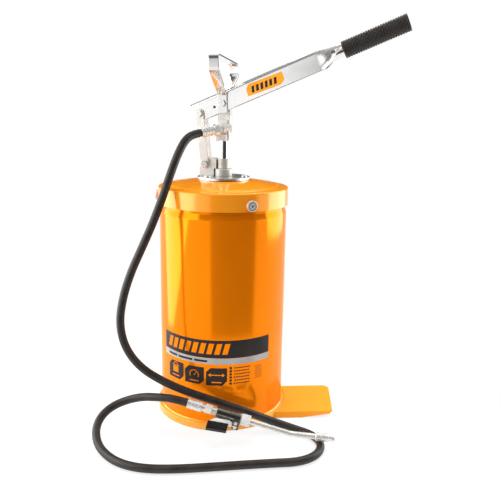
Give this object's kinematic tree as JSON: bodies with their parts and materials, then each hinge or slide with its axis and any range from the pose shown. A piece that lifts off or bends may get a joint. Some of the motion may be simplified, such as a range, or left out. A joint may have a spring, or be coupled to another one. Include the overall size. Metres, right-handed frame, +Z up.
{
  "type": "bucket grease pump",
  "caption": "Hand-operated bucket grease pump with lever, link, carry handle, round pail, foot plate, delivery hose and trigger control valve.",
  "frame": {"origin": "the middle of the pail's underside, on the drum's axis, where it meets the floor", "axes": "+Z up the drum's axis; the lever swings in the XZ plane and its grip points to +X; the hose leaves the head towards -X and -Y"},
  "size_m": [0.5012, 0.422, 0.7435],
  "materials": {
    "pail_paint": "gloss",
    "foot_paint": "gloss",
    "zinc_fastener": "bright zinc",
    "zinc_steel": "bright zinc",
    "dark_steel": "satin",
    "chrome_steel": "polished",
    "cast_head": "satin",
    "bronze": "satin",
    "handle_steel": "bright zinc",
    "black_rubber": "satin"
  },
  "bodies": {
    "pail": {"base_plate": "pail_paint", "base_ring": "pail_paint", "foot_plate": "foot_paint", "drum_shell": "pail_paint", "lid": "pail_paint", "lid_bosses": "pail_paint", "lid_screws": "zinc_fastener", "lid_nuts": "zinc_fastener", "lid_gasket": "black_rubber", "flange_gasket": "black_rubber", "pump_flange": "zinc_steel", "flange_screws": "zinc_fastener", "gland_collar": "zinc_steel", "gland_packing": "black_rubber", "gland_nut": "zinc_steel", "fulcrum_lug": "zinc_steel", "pump_cylinder": "dark_steel", "foot_valve_seat": "dark_steel", "strainer": "dark_steel", "delivery_hose": "black_rubber", "gun_ferrule": "chrome_steel", "gun_swivel": "chrome_steel", "valve_body": "chrome_steel", "trigger_pin": "zinc_fastener", "tube_nut": "chrome_steel", "extension_tube": "chrome_steel", "coupler_body": "chrome_steel", "coupler_jaws": "chrome_steel"},
    "pump_head": {"pump_head": "cast_head", "plunger_tube": "chrome_steel", "piston": "dark_steel", "piston_seal": "black_rubber", "pivot_bush": "bronze", "outlet_adapter": "chrome_steel", "outlet_nut": "chrome_steel", "head_ferrule": "chrome_steel", "pivot_bolt": "zinc_fastener", "pivot_nut": "zinc_fastener"},
    "lever": {"lever_channel": "chrome_steel", "lever_neck": "chrome_steel", "lever_tube": "chrome_steel", "hand_grip": "black_rubber", "upper_link_bolt": "zinc_fastener", "upper_link_nut": "zinc_fastener", "link_spacer": "zinc_fastener"},
    "links": {"link_bar_front": "zinc_steel", "link_bar_rear": "zinc_steel", "lower_link_bolt": "zinc_fastener", "lower_link_nut": "zinc_fastener"},
    "carry_handle": {"carry_handle": "handle_steel"},
    "follower": {"follower_plate": "zinc_steel", "follower_wiper": "black_rubber"},
    "trigger": {"trigger_lever": "chrome_steel", "trigger_grip": "black_rubber"},
    "stem": {"valve_stem": "chrome_steel"},
    "foot_ball": {"foot_valve_ball": "chrome_steel"},
    "piston_ball": {"piston_ball": "chrome_steel"}
  },
  "joints": [
    {"name": "head_slide", "type": "slide", "parent": "pail", "child": "pump_head", "axis": [0, 0, 1], "range_m": [-0.03, 0.008], "deforming": ["delivery_hose"]},
    {"name": "lever_hinge", "type": "hinge", "parent": "pump_head", "child": "lever", "pos_m": [0, 0, 0.591], "axis": [0, 1, 0], "range_deg": [-9.4, 35.1]},
    {"name": "link_hinge", "type": "hinge", "parent": "lever", "child": "links", "pos_m": [-0.04388, 0, 0.57255], "axis": [0, 1, 0], "range_deg": [-38.2, 10.3]},
    {"name": "carry_handle_swing", "type": "hinge", "parent": "pump_head", "child": "carry_handle", "pos_m": [0, 0, 0.591], "axis": [0, 1, 0], "range_deg": [-55, 25]},
    {"name": "follower_slide", "type": "slide", "parent": "pail", "child": "follower", "axis": [0, 0, 1], "range_m": [-0.28, 0.075]},
    {"name": "trigger_hinge", "type": "hinge", "parent": "pail", "child": "trigger", "pos_m": [0.07271, -0.16789, 0.03936], "axis": [-0.2553, 0.6387, -0.7258], "range_deg": [0, 5], "stiffness_Nm_per_rad": 3, "springref_deg": -2.29},
    {"name": "stem_slide", "type": "slide", "parent": "pail", "child": "stem", "axis": [0.0673, 0.7606, 0.6457], "range_m": [0, 0.00165]},
    {"name": "foot_ball_lift", "type": "slide", "parent": "pail", "child": "foot_ball", "axis": [0, 0, 1], "range_m": [0, 0.004]},
    {"name": "piston_ball_lift", "type": "slide", "parent": "pump_head", "child": "piston_ball", "axis": [0, 0, 1], "range_m": [0, 0.002]}
  ],
  "couplings": [
    {"joint": "lever_hinge", "follows": "head_slide", "rad_per_m": -20.343},
    {"joint": "link_hinge", "follows": "head_slide", "rad_per_m": 22.145},
    {"joint": "trigger_hinge", "follows": "stem_slide", "rad_per_m": 52.632}
  ]
}
